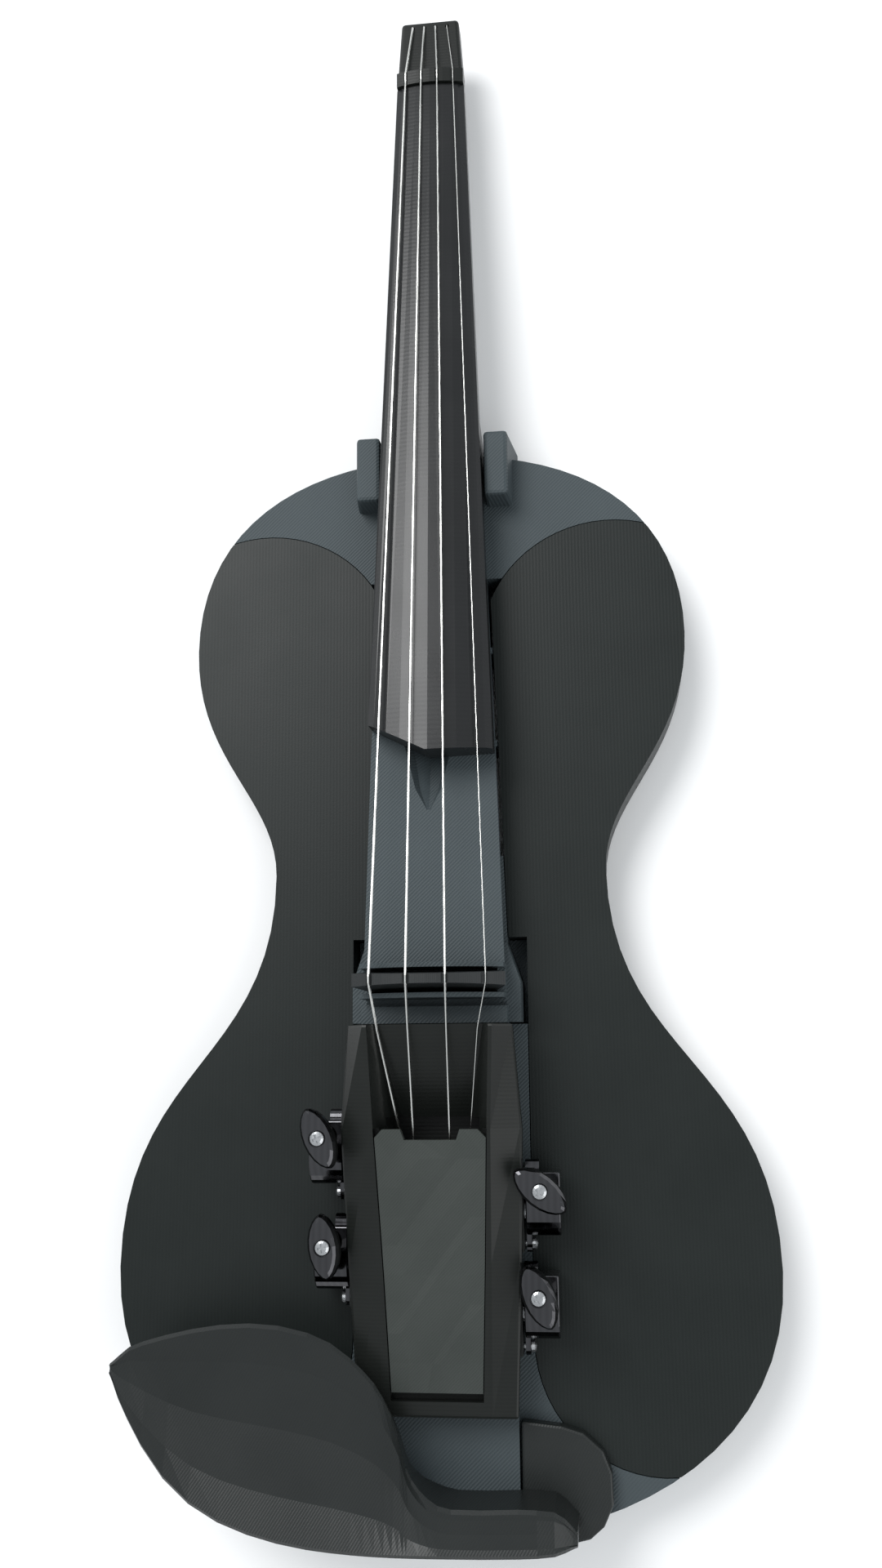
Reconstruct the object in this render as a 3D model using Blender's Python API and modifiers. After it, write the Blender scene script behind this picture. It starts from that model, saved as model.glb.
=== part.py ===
"""A headless electric violin of printed parts, lying on its back, as separate solids.

X points to the player's right, Y from the tail to the head and Z up from the back.
The origin is on the flat back, straight below the bridge's string line.
Sizes are in millimetres and angles in degrees; the mesh helpers turn them into metres.
"""
import math

import bmesh
import bpy
from mathutils import Matrix, Vector

MM = 0.001
GAP = 0.3                     # between pieces that seat on each other

# Body outline
BODY_LENGTH = 355.0
BODY_TOP_Y = 184.0
BODY_DEPTH = 20.0
UPPER_BOUT = 169.0
UPPER_BOUT_Y = 116.0
WAIST = 111.2
WAIST_Y = 36.0
LOWER_BOUT = 212.4
LOWER_BOUT_Y = -91.0
EDGE_ROUND = 3.0
OUTLINE_STEPS = 18
TOP_PULL = (49.9, 45.6)       # Bezier handle lengths at the two ends of each stretch
SHOULDER_PULL = (39.4, 26.7)
FLANK_PULL = (62.1, 64.9)
TAIL_PULL = (58.3, 45.1)

# Seams between the core and the wings
TOP_SEAM_CENTRE = (60.0, 112.0)
TOP_SEAM_RADIUS = 45.0
TAIL_SEAM_RADIUS = 39.3
TAIL_SEAM_Y = -112.0
WING_INNER_X = 29.0           # beside the tuner box
NOTCH_Y = 14.0
WING_BEAM_X = (22.9, 18.9)    # inner edge of a wing at the notch and at the top seam
WING_BEAM_Y = (14.0, 132.0)
NOTCH_DEPTH = 11.0

# Beam and deck of the core
SLIT_INNER_X = 17.5
SLIT_Y = (41.0, 138.0)
SLIT_TABS = (79.6, 112.2)
SLIT_TAB_WIDTH = 2.0
DECK_HALF = (22.8, 20.7)      # at the bridge and at the fingerboard's end
DECK_Z = 36.0                 # at the bridge; it meets the board's underside at its end
DECK_LIP = 3.5
DECK_FLARE = 4.5
DECK_TAIL_Y = -14.0

# Bridge and its seat
BRIDGE_HALF = DECK_HALF[0] + 1.2
BRIDGE_TOP_THICK = 2.7
BRIDGE_FOOT_HALF = DECK_HALF[0] - 2.8
BRIDGE_CROWN_Z = 57.5
ARCH_RADIUS = 44.0            # shared by the bridge, its seat, the board and the nut
SEAT_Y = (-4.9, 3.0)          # faces of the slot that holds the bridge's foot
SEAT_LIP = 1.5
SEAT_CROWN_Z = 49.5
SEAT_HALF = DECK_HALF[0] + 0.1
SEAT_FLOOR_Z = 30.0
GROOVE_Y = -8.8               # tail side of the groove behind the seat
GROOVE_FLOOR_Z = 31.0
BAR_HALF = DECK_HALF[0] + 0.5
PIEZO = (2 * BRIDGE_FOOT_HALF, 3.0, 0.9)
SCOOP_X = -1.5
SCOOP = (
    # y, half width, depth of the hollow under the board's end
    (55.0, 0.6, 0.3),
    (62.0, 4.3, 3.6),
    (77.0, 8.0, 8.0),
    (92.0, 8.0, 8.0),
    (98.0, 6.5, 5.0),
)
GUSSET = ((16.0, 12.4), (22.9, 11.5), (27.3, -1.0), (27.3, -13.8), (16.0, -13.8))
GUSSET_TOP_Z = 30.3

# Strings, from G to E
STRING_LENGTH = 328.0
STRING_NAMES = ("g", "d", "a", "e")
STRING_DIAMETER = (0.82, 0.76, 0.68, 0.36)
STRING_NUT_X = (-8.9, -3.1, 2.8, 8.6)
STRING_HEAD_X = (-6.4, -2.1, 2.1, 6.4)
STRING_BRIDGE_X = (-18.2, -6.2, 6.0, 18.1)
STRING_SADDLE_X = (-16.2, -6.6, 5.4, 15.0)
STRING_CLEAR = 0.15           # between a string and what it lies on
STRING_NOTCH = 1.3            # radius of the bridge notches
NOTCH_SINK = (0.7, 0.5)       # how deep the notches go in the bridge and the nut
BALL_RADIUS = 1.9
BALL_LENGTH = 3.2
BALL_Y = STRING_LENGTH + 25.2
BALL_Z = 19.4

# Neck and fingerboard
NUT_HALF = 12.4
BOARD_END_HALF = 20.6
BOARD_END_Y = 73.0
BOARD_TIP = (-0.9, 72.3)
BOARD_CORNER = (-21.0, 82.6)
BOARD_EDGE_Z = (24.5, 43.2)   # top of the board's edge at the nut and at its end
BOARD_EDGE_THICK = (5.0, 9.2)
BOARD_BEVEL = 2.2
NECK_DEPTH = 12.5
NECK_HEEL_Y = (150.0, 186.0)
HEEL_HALF = 16.8
HEEL_FLOOR = 6.0
NUT_THICK = 5.5
HEAD_LENGTH = 27.5
HEAD_HALF = (12.1, 10.7)
HEAD_TOP_Z = 24.2
HEAD_BASE_Z = 14.0
HEAD_SKIN = 2.7
NUT_CROWN_Z = 27.4

# Heel blocks
BLOCK_X = (18.1, 28.6)
BLOCK_Y = (163.5, 189.0)
BLOCK_TOP_Z = 31.0
BLOCK_BASE_Z = 7.0
BLOCK_DRAFT = 2.4
BLOCK_BEVEL = 1.2

# Tuner box
BOX_Y = (-132.0, -14.6)
BOX_STATIONS = (
    # y, outer half, outer z, ridge half, ridge z
    (-14.6, 25.8, 48.0, 20.0, 55.5),
    (-46.0, 28.2, 46.8, 18.6, 50.2),
    (-86.0, 26.9, 40.6, 17.6, 42.0),
    (-132.0, 24.7, 35.2, 16.8, 35.6),
)
BOX_BASE_DRAFT = 2.0
BOX_RIM = 1.2                 # width of the ridge left beside the channel
RAMP_Z = (49.0, 33.5)
RAMP_HALF = (16.6, 11.0)
RAMP_END_Y = -43.0
CAVITY_HALF = (14.6, 11.6)
CAVITY_Y = (-121.5, -43.0)
BOX_FLOOR = 2.6
LID_HALF = (17.2, 14.0)
LID_Y = (-124.6, -46.2)
LID_THICK = 3.0
LID_CORNER = 2.6
LID_NOTCH = (8.0, 3.2)        # half width and depth of the notch for the strings
LID_RELIEF = 0.45             # highest facet corner above the lid's face
LID_ROWS = 10
LID_COLUMNS = 6
LID_TAIL_GAP = 2.5

# Tuning machines: two on each side, worm upright, post through the box wall
GEAR_TEETH = 15
WORM_PITCH_RADIUS = 2.3
GEAR_PITCH_RADIUS = 5.2
TOOTH_ADDENDUM = 0.5
TOOTH_DEDENDUM = 0.8
TOOTH_SHARE = 0.37            # tooth thickness over pitch
GEAR_WIDTH = 3.0
WORM_TURNS = 2.6
WORM_STEPS = 9                # skin sections in one turn of the thread
SHAFT_RADIUS = 1.5
WORM_OUT = 5.5                # from the housing's wall face to the worm's axis
HOUSING_THICK = 11.0
HOUSING_SKIN = 2.2
HOUSING_RADIUS = 7.4
HOUSING_NORTH = 4.6
HOUSING_TOP = 7.6             # above the post's axis
LUG_RADIUS = 2.6
LUG_THICK = 1.8
LUG_Y = -9.7                  # from the post's axis
POST_RADIUS = 3.0
POST_WAIST = 2.4
POST_INNER_X = 3.4
BUTTON_LENGTH = 19.5
BUTTON_WIDTH = 10.0
BUTTON_HEIGHT = 11.7
BUTTON_LIFT = 2.2
BUTTON_SHAFT = 8.4            # how far the worm's shaft goes into the button
BUTTON_SCREW_RADIUS = 2.4
BUSHING_RADIUS = 4.1
BUSHING_HEX = 5.6
BUSHING_LENGTH = 5.5
BUSHING_FLANGE = 1.3
MACHINES = (
    # name, side, worm y, post z, button angle
    ("g", -1, -48.6, 33.5, 24.0),
    ("e", 1, -64.2, 31.8, 52.0),
    ("d", -1, -80.8, 29.8, 8.0),
    ("a", 1, -95.0, 28.2, 23.0),
)
WIND_TURNS = 2.5
WIND_PITCH = 1.35
WIND_STEPS = 12               # string sections in one turn
WIND_X = (8.9, 5.2)           # where the outer and the middle strings reach their posts

# Chinrest
CHIN_RIM_Z = 47.0
CHIN_THICK = 5.5
CHIN_CUP = 5.0
CHIN_NORTH = (
    # the leaf's edge toward the bridge, then the arm's
    (-99.4, -115.6),
    (-91.5, -109.8),
    (-60.0, -103.6),
    (-35.0, -107.0),
    (-18.8, -118.8),
    (-11.4, -131.6),
    (-8.0, -143.8),
    (-2.3, -151.3),
    (4.0, -154.3),
    (35.0, -154.5),
    (41.8, -160.6),
)
CHIN_SOUTH = (
    # the edge toward the tail
    (-99.4, -118.6),
    (-95.2, -128.6),
    (-84.0, -145.8),
    (-69.6, -157.5),
    (-48.7, -164.7),
    (-24.6, -167.6),
    (6.8, -167.8),
    (35.0, -166.5),
    (41.8, -164.4),
)
CHIN_ARM_BASE_Z = 25.9
CHIN_FOOT = (
    # plan of the foot plate
    (24.5, -134.7),
    (36.9, -135.9),
    (43.5, -137.8),
    (49.4, -142.8),
    (51.9, -149.0),
    (52.1, -158.0),
    (49.2, -164.2),
    (44.6, -168.1),
    (36.0, -170.3),
    (24.5, -171.4),
)
CHIN_FOOT_Z = 25.0

# Tail block and output jack
TAIL_BLOCK_HALF = 23.9
TAIL_BLOCK_Y = (-166.0, -132.4)
TAIL_BLOCK_Z = 25.6
JACK_RADIUS = 5.0
JACK_OUT = 3.4                # how far the jack stands out of the tail
JACK_LENGTH = 34.4
TAIL_Y = BODY_TOP_Y - BODY_LENGTH
JACK_Y = (TAIL_Y - JACK_OUT, TAIL_Y - JACK_OUT + JACK_LENGTH)
JACK_Z = 11.0
JACK_BORE = 3.25
JACK_NUT_RADIUS = 7.5
JACK_NUT_THICK = 2.2

# Screws from the back
SCREW_RADIUS = 1.5
SCREW_HEAD_RADIUS = 3.2
SCREW_HEAD = 2.3
BACK_SCREWS = (
    # name, x, y, height of the tip
    ("neck_bolt_1", 0.0, 160.0, 19.0),
    ("neck_bolt_2", 0.0, 176.0, 19.0),
    ("box_screw_1", 0.0, -28.0, 34.0),
    ("box_screw_2", 0.0, -129.0, 31.0),
    ("chinrest_screw_1", 38.0, -145.0, 23.6),
    ("chinrest_screw_2", 44.0, -158.0, 23.6),
)

SEGMENTS = 24

violin = bpy.data.collections.new("electric_violin")
tools = bpy.data.collections.new("cutters")


# Mesh helpers


def clear_scene():
    for item in list(bpy.data.objects):
        bpy.data.objects.remove(item, do_unlink=True)
    bpy.context.scene.collection.children.link(violin)
    bpy.context.scene.collection.children.link(tools)
    tools.hide_render = True


def lerp(a, b, t):
    return a + (b - a) * t


def ramp(value, start, end, low, high):
    """The straight line through (start, low) and (end, high), read at value."""
    return lerp(low, high, (value - start) / (end - start))


def arc(centre, radius, start, end, steps):
    """Points along an arc, angles in degrees, both ends included."""
    points = []
    for step in range(steps + 1):
        angle = math.radians(lerp(start, end, step / steps))
        points.append((centre[0] + radius * math.cos(angle), centre[1] + radius * math.sin(angle)))
    return points


def bezier(start, pull_start, pull_end, end, steps):
    """Points of a cubic curve from its start up to, but without, its end."""
    a = Vector(start)
    b = a + Vector(pull_start)
    d = Vector(end)
    c = d + Vector(pull_end)
    points = []
    for step in range(steps):
        t = step / steps
        point = (1 - t) ** 3 * a + 3 * (1 - t) ** 2 * t * b + 3 * (1 - t) * t ** 2 * c + t ** 3 * d
        points.append(tuple(point))
    return points


def mirrored(outline):
    """The same closed outline on the other side of X = 0."""
    return [(-x, y) for x, y in reversed(outline)]


def close_mesh(bm, name):
    """Welds, orients outward and stores a closed bmesh built in millimetres."""
    bmesh.ops.remove_doubles(bm, verts=bm.verts, dist=0.0005)
    bmesh.ops.recalc_face_normals(bm, faces=bm.faces)
    bmesh.ops.scale(bm, vec=(MM, MM, MM), verts=bm.verts)
    mesh = bpy.data.meshes.new(name)
    bm.to_mesh(mesh)
    bm.free()
    item = bpy.data.objects.new(name, mesh)
    violin.objects.link(item)
    return item


def as_solid(curve, name, matrix=None):
    """A curve's filled surface as a welded mesh object."""
    guide = bpy.data.objects.new(name, curve)
    tools.objects.link(guide)
    bpy.context.view_layer.update()
    graph = bpy.context.evaluated_depsgraph_get()
    mesh = bpy.data.meshes.new_from_object(guide.evaluated_get(graph))
    bpy.data.objects.remove(guide)
    bpy.data.curves.remove(curve)
    if matrix is not None:
        mesh.transform(matrix)
    bm = bmesh.new()
    bm.from_mesh(mesh)
    bpy.data.meshes.remove(mesh)
    bmesh.ops.scale(bm, vec=(1 / MM, 1 / MM, 1 / MM), verts=bm.verts)
    return close_mesh(bm, name)


AXES = {
    "z": Matrix.Identity(4),
    "x": Matrix(((0, 0, 1, 0), (1, 0, 0, 0), (0, 1, 0, 0), (0, 0, 0, 1))),
    "y": Matrix(((1, 0, 0, 0), (0, 0, 1, 0), (0, 1, 0, 0), (0, 0, 0, 1))),
}


def extrude(name, outline, low, high, axis="z"):
    """A flat outline made thick: (x, y) along Z, (x, z) along Y or (y, z) along X."""
    curve = bpy.data.curves.new(name, "CURVE")
    curve.dimensions = "2D"
    curve.fill_mode = "BOTH"
    curve.extrude = (high - low) / 2 * MM
    spline = curve.splines.new("POLY")
    spline.points.add(len(outline) - 1)
    for point, (u, v) in zip(spline.points, outline):
        point.co = (u * MM, v * MM, 0.0, 1.0)
    spline.use_cyclic_u = True
    lift = Matrix.Translation((0, 0, (low + high) / 2 * MM))
    return as_solid(curve, name, AXES[axis] @ lift)


def tube(name, points, radius, resolution=1):
    """A round bar or wire along a list of points, with closed ends."""
    curve = bpy.data.curves.new(name, "CURVE")
    curve.dimensions = "3D"
    curve.bevel_depth = radius * MM
    curve.bevel_resolution = resolution
    curve.use_fill_caps = True
    spline = curve.splines.new("POLY")
    spline.points.add(len(points) - 1)
    for point, place in zip(spline.points, points):
        point.co = (place[0] * MM, place[1] * MM, place[2] * MM, 1.0)
    return as_solid(curve, name)


def loft(name, rings):
    """A closed skin through rings of equal counts, with a flat cap at each end."""
    bm = bmesh.new()
    loops = [[bm.verts.new(point) for point in ring] for ring in rings]
    count = len(rings[0])
    for lower, upper in zip(loops, loops[1:]):
        for i in range(count):
            j = (i + 1) % count
            bm.faces.new((lower[i], lower[j], upper[j], upper[i]))
    bm.faces.new(loops[0])
    bm.faces.new(loops[-1])
    return close_mesh(bm, name)


def block(name, low, high):
    """A box between two corners."""
    bm = bmesh.new()
    bmesh.ops.create_cube(bm, size=1.0)
    size = [b - a for a, b in zip(low, high)]
    middle = [(a + b) / 2 for a, b in zip(low, high)]
    bmesh.ops.scale(bm, vec=size, verts=bm.verts)
    bmesh.ops.translate(bm, vec=middle, verts=bm.verts)
    return close_mesh(bm, name)


def bar(name, radius, start, end, segments=SEGMENTS, radius_end=None):
    """A cylinder, or a cone, from one point to another."""
    start = Vector(start)
    reach = Vector(end) - start
    turn = reach.to_track_quat("Z", "Y").to_matrix().to_4x4()
    bm = bmesh.new()
    bmesh.ops.create_cone(
        bm,
        cap_ends=True,
        segments=segments,
        radius1=radius,
        radius2=radius if radius_end is None else radius_end,
        depth=reach.length,
        matrix=Matrix.Translation(start + reach / 2) @ turn,
    )
    return close_mesh(bm, name)


def turned(name, profile, segments=SEGMENTS):
    """A profile of (radius, height) pairs, top to bottom, turned about Z."""
    mesh = bpy.data.meshes.new(name)
    points = [(radius * MM, 0.0, height * MM) for radius, height in profile]
    mesh.from_pydata(points, [(i, i + 1) for i in range(len(points) - 1)], [])
    item = bpy.data.objects.new(name, mesh)
    violin.objects.link(item)
    screw = item.modifiers.new("turn", "SCREW")
    screw.axis = "Z"
    screw.steps = segments
    screw.render_steps = segments
    screw.use_merge_vertices = True
    screw.merge_threshold = 0.000001
    bake(item)
    return tidy(item)


def bake(item):
    """Applies an object's modifiers to its mesh."""
    bpy.context.view_layer.update()
    graph = bpy.context.evaluated_depsgraph_get()
    mesh = bpy.data.meshes.new_from_object(item.evaluated_get(graph))
    item.modifiers.clear()
    old = item.data
    item.data = mesh
    bpy.data.meshes.remove(old)
    return item


def tidy(item):
    """Welds the mesh, drops faces without area and turns it outward."""
    bm = bmesh.new()
    bm.from_mesh(item.data)
    bmesh.ops.remove_doubles(bm, verts=bm.verts, dist=0.000001)
    bmesh.ops.dissolve_degenerate(bm, edges=bm.edges, dist=0.000001)
    bmesh.ops.recalc_face_normals(bm, faces=bm.faces)
    bm.to_mesh(item.data)
    bm.free()
    return item


def combine(item, other, operation):
    """Joins, cuts or trims a solid with another one, which is used up."""
    other.hide_render = True
    other.display_type = "WIRE"
    change = item.modifiers.new(operation.lower(), "BOOLEAN")
    change.object = other
    change.operation = operation
    change.solver = "EXACT"
    bake(item)
    bpy.data.objects.remove(other)
    return item


def cut(item, *others):
    for other in others:
        combine(item, other, "DIFFERENCE")
    return item


def join(item, *others):
    for other in others:
        combine(item, other, "UNION")
    return item


def trim(item, other):
    return combine(item, other, "INTERSECT")


def round_edges(item, width, segments=2, angle=50.0):
    edge = item.modifiers.new("round", "BEVEL")
    edge.width = width * MM
    edge.segments = segments
    edge.limit_method = "ANGLE"
    edge.angle_limit = math.radians(angle)
    edge.use_clamp_overlap = True
    bake(item)
    return tidy(item)


def turn_part(item, angle, axis, about=(0, 0, 0)):
    """Turns a mesh about a line through a point, in degrees."""
    pivot = Vector(about) * MM
    spin = Matrix.Rotation(math.radians(angle), 4, axis)
    item.data.transform(Matrix.Translation(pivot) @ spin @ Matrix.Translation(-pivot))
    return item


def flipped(item):
    """A part's mirror image in X, still facing out."""
    item.data.transform(Matrix.Diagonal((-1, 1, 1, 1)))
    item.data.flip_normals()
    return item


def finish(item, name, look, origin=(0, 0, 0), smooth=35.0):
    """Names a piece, puts its origin in place and gives it its material."""
    tidy(item)
    place = Vector(origin) * MM
    item.data.transform(Matrix.Translation(-place))
    item.location = place
    item.name = name
    item.data.name = name
    item.data.materials.clear()
    item.data.materials.append(materials[look])
    item.data.shade_smooth()
    item.data.set_sharp_from_angle(angle=math.radians(smooth))
    return item


# Materials

LOOKS = {
    # name: colour, roughness, metallic
    "core_print": ((0.045, 0.058, 0.064), 0.62, 0.0),
    "wing_shell": ((0.014, 0.017, 0.017), 0.50, 0.0),
    "satin_black": ((0.010, 0.012, 0.012), 0.38, 0.0),
    "lid_print": ((0.036, 0.040, 0.038), 0.60, 0.0),
    "bridge_black": ((0.020, 0.022, 0.023), 0.45, 0.0),
    "string_steel": ((0.78, 0.78, 0.76), 0.28, 1.0),
    "tuner_black": ((0.030, 0.030, 0.032), 0.18, 0.9),
    "tuner_chrome": ((0.62, 0.63, 0.65), 0.15, 1.0),
    "screw_steel": ((0.40, 0.41, 0.42), 0.30, 1.0),
    "brass": ((0.70, 0.53, 0.25), 0.30, 1.0),
    "piezo": ((0.60, 0.52, 0.34), 0.45, 0.3),
}
materials = {}


def make_materials():
    for name, (colour, roughness, metallic) in LOOKS.items():
        look = bpy.data.materials.new(name)
        look.use_nodes = True
        shader = look.node_tree.nodes["Principled BSDF"]
        shader.inputs["Base Color"].default_value = (*colour, 1.0)
        shader.inputs["Roughness"].default_value = roughness
        shader.inputs["Metallic"].default_value = metallic
        materials[name] = look


# Body


def body_outline():
    top = (0.0, BODY_TOP_Y)
    upper = (UPPER_BOUT / 2, UPPER_BOUT_Y)
    waist = (WAIST / 2, WAIST_Y)
    lower = (LOWER_BOUT / 2, LOWER_BOUT_Y)
    tail = (0.0, TAIL_Y)
    right = bezier(top, (TOP_PULL[0], 0), (0, TOP_PULL[1]), upper, OUTLINE_STEPS)
    right += bezier(upper, (0, -SHOULDER_PULL[0]), (0, SHOULDER_PULL[1]), waist, OUTLINE_STEPS)
    right += bezier(waist, (0, -FLANK_PULL[0]), (0, FLANK_PULL[1]), lower, OUTLINE_STEPS)
    right += bezier(lower, (0, -TAIL_PULL[0]), (TAIL_PULL[1], 0), tail, OUTLINE_STEPS)
    left = [(-x, y) for x, y in reversed(right[1:])]
    return right + [tail] + left


def body_blank(name):
    blank = extrude(name, body_outline(), 0.0, BODY_DEPTH)
    return round_edges(blank, EDGE_ROUND, 2, 60.0)


def wing_region(gap):
    """The right wing's plan, wider than the body outside, grown inward by a gap."""
    beyond = LOWER_BOUT / 2 + 20
    radius = TOP_SEAM_RADIUS + gap
    inner = math.degrees(math.acos((WING_BEAM_X[1] - gap - TOP_SEAM_CENTRE[0]) / radius))
    tail_centre = (WING_INNER_X + TAIL_SEAM_RADIUS, TAIL_SEAM_Y)
    points = arc(TOP_SEAM_CENTRE, radius, 60.0, inner, 18)
    points.append((WING_BEAM_X[0] - gap, NOTCH_Y - gap))
    points.append((WING_INNER_X - gap, NOTCH_Y - gap))
    points += arc(tail_centre, TAIL_SEAM_RADIUS + gap, 180.0, 295.0, 18)
    points.append((beyond, points[-1][1]))
    points.append((beyond, points[0][1]))
    return points


def make_wings():
    for name, outline in (("right_wing", wing_region(0.0)), ("left_wing", mirrored(wing_region(0.0)))):
        wing = body_blank(name)
        trim(wing, extrude("region", outline, -1.0, BODY_DEPTH + 1))
        finish(wing, name, "wing_shell", smooth=40.0)


def board_half(y):
    return ramp(y, STRING_LENGTH, BOARD_END_Y, NUT_HALF, BOARD_END_HALF)


def board_edge_z(y):
    return ramp(y, STRING_LENGTH, BOARD_END_Y, BOARD_EDGE_Z[0], BOARD_EDGE_Z[1])


def board_under_z(y):
    thick = ramp(y, STRING_LENGTH, BOARD_END_Y, BOARD_EDGE_THICK[0], BOARD_EDGE_THICK[1])
    return board_edge_z(y) - thick


def deck_half(y):
    return ramp(y, 0.0, BOARD_END_Y, DECK_HALF[0], DECK_HALF[1])


def deck_z(y):
    end = board_under_z(BOARD_END_Y) - GAP
    return ramp(y, 0.0, BOARD_END_Y, DECK_Z, end)


def beam_ring(y, half, top):
    low = top - DECK_LIP - DECK_FLARE
    side = [(SLIT_INNER_X, BODY_DEPTH / 2), (SLIT_INNER_X, low), (half, top - DECK_LIP), (half, top)]
    ring = side + [(-x, z) for x, z in reversed(side)]
    return [(x, y, z) for x, z in ring]


def make_beam():
    heel_end = NECK_HEEL_Y[0] - GAP
    start = SLIT_INNER_X + 0.1
    rings = [
        beam_ring(heel_end, start, board_under_z(heel_end) - GAP),
        beam_ring(BOARD_END_Y, deck_half(BOARD_END_Y), deck_z(BOARD_END_Y)),
        beam_ring(DECK_TAIL_Y, deck_half(DECK_TAIL_Y), deck_z(DECK_TAIL_Y)),
    ]
    return loft("beam", rings)


def arch_drop(x):
    """How far the shared arch has fallen at a distance from the middle."""
    return ARCH_RADIUS - math.sqrt(ARCH_RADIUS ** 2 - x ** 2)


def arch_outline(half, crown, base, steps=12):
    """An arched plate seen along the strings: (x, z) points."""
    points = []
    for step in range(steps + 1):
        x = lerp(half, -half, step / steps)
        points.append((x, crown - arch_drop(x)))
    return points + [(-half, base), (half, base)]


def slit_cutters():
    """The slits between the beam and the wings, with two tabs left in each."""
    cutters = []
    edges = [SLIT_Y[0]]
    for tab in SLIT_TABS:
        edges += [tab - SLIT_TAB_WIDTH / 2, tab + SLIT_TAB_WIDTH / 2]
    edges.append(SLIT_Y[1])
    for start, end in zip(edges[0::2], edges[1::2]):
        for side in (-1, 1):
            xs = sorted((side * (SLIT_INNER_X + 0.1), side * (WING_BEAM_X[0] + 2)))
            cutters.append(block("slit", (xs[0], start, -1), (xs[1], end, BODY_DEPTH + 1)))
    return cutters


def deck_cutters():
    """The groove, the slot for the bridge's foot and the hollow in the deck."""
    cutters = []
    wide = BAR_HALF + 5
    cutters.append(block("groove", (-wide, GROOVE_Y, GROOVE_FLOOR_Z), (wide, SEAT_Y[0] - SEAT_LIP, 60)))
    slot_half = BRIDGE_FOOT_HALF + 0.4
    cutters.append(block("slot", (-slot_half, SEAT_Y[0], SEAT_FLOOR_Z), (slot_half, SEAT_Y[1], 60)))
    cutters.append(block("gap_above", (-wide, SEAT_Y[0], DECK_Z + 0.3), (wide, SEAT_Y[1], 60)))
    rings = []
    for y, half, depth in SCOOP:
        top = deck_z(y)
        ring = [(-half, 3), (-half, 0), (-0.7 * half, -0.7 * depth), (0, -depth)]
        ring += [(0.7 * half, -0.7 * depth), (half, 0), (half, 3)]
        rings.append([(SCOOP_X + x, y, top + z) for x, z in ring])
    cutters.append(loft("scoop", rings))
    return cutters


def heel_block(side):
    (left, right), (tail, head) = BLOCK_X, BLOCK_Y
    low = [(left, tail), (right, tail), (right, head), (left, head)]
    rings = []
    for z, draft in ((BLOCK_BASE_Z, 0.0), (BLOCK_TOP_Z, BLOCK_DRAFT)):
        ring = []
        for x, y in low:
            inward_x = draft if x > BLOCK_X[0] else 0.0
            inward_y = draft if y == BLOCK_Y[0] else -draft
            ring.append((side * (x - inward_x), y + inward_y * 0.5, z))
        rings.append(ring)
    solid = loft("heel_block", rings)
    return round_edges(solid, BLOCK_BEVEL, 2, 60.0)


def make_core():
    core = body_blank("core_body")
    jack_radius = JACK_RADIUS + GAP
    cut(core, bar("jack_bore", jack_radius, (0, JACK_Y[0] - 10, JACK_Z), (0, JACK_Y[1] + GAP, JACK_Z)))
    for outline in (wing_region(GAP), mirrored(wing_region(GAP))):
        cut(core, extrude("wing_space", outline, -1.0, BODY_DEPTH + 1))
    for side in (-1, 1):
        xs = sorted((side * (WING_BEAM_X[0] - GAP), side * (WING_INNER_X + 0.5)))
        floor = BODY_DEPTH - NOTCH_DEPTH
        cut(core, block("notch", (xs[0], DECK_TAIL_Y - GAP, floor), (xs[1], NOTCH_Y + 0.2, BODY_DEPTH + 1)))
    cut(core, *slit_cutters())
    join(core, make_beam())
    outline = arch_outline(SEAT_HALF, SEAT_CROWN_Z, SEAT_FLOOR_Z - 1.3)
    join(core, extrude("seat", outline, SEAT_Y[0] - SEAT_LIP - 1, SEAT_Y[1] + SEAT_LIP, "y"))
    tail = (-BAR_HALF, DECK_TAIL_Y - 0.1, SEAT_FLOOR_Z - 0.7)
    join(core, block("rest_bar", tail, (BAR_HALF, GROOVE_Y + 0.5, DECK_Z + 0.8)))
    for outline in (list(GUSSET), mirrored(GUSSET)):
        join(core, extrude("gusset", outline, BODY_DEPTH - NOTCH_DEPTH - 1, GUSSET_TOP_Z))
    cut(core, *deck_cutters())
    tail_low = (-TAIL_BLOCK_HALF, TAIL_BLOCK_Y[0], BODY_DEPTH - 1.5)
    join(core, block("tail_block", tail_low, (TAIL_BLOCK_HALF, TAIL_BLOCK_Y[1], TAIL_BLOCK_Z)))
    for side in (-1, 1):
        join(core, heel_block(side))
    heel_half = HEEL_HALF + GAP
    mortise_low = (-heel_half, NECK_HEEL_Y[0] - GAP, HEEL_FLOOR)
    cut(core, block("mortise", mortise_low, (heel_half, BLOCK_Y[1] + 5, 60)))
    for name, x, y, tip in BACK_SCREWS:
        cut(core, *screw_hole(x, y, tip))
    finish(core, "core_body", "core_print", smooth=30.0)


def screw_hole(x, y, tip):
    """The clearance hole of a screw from the back, with its head's recess."""
    shank = bar("shank_hole", SCREW_RADIUS + GAP, (x, y, -1), (x, y, tip + 0.6), 12)
    head = bar("head_hole", SCREW_HEAD_RADIUS + GAP, (x, y, -1), (x, y, SCREW_HEAD + 2 * GAP), 16)
    return shank, head


def phillips(item, x, y, top, size, depth):
    """Cuts a cross recess into a screw head that faces up."""
    for half_x, half_y in ((size, size * 0.28), (size * 0.28, size)):
        low = (x - half_x, y - half_y, top - depth)
        cut(item, block("cross", low, (x + half_x, y + half_y, top + 1)))
    return item


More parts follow.
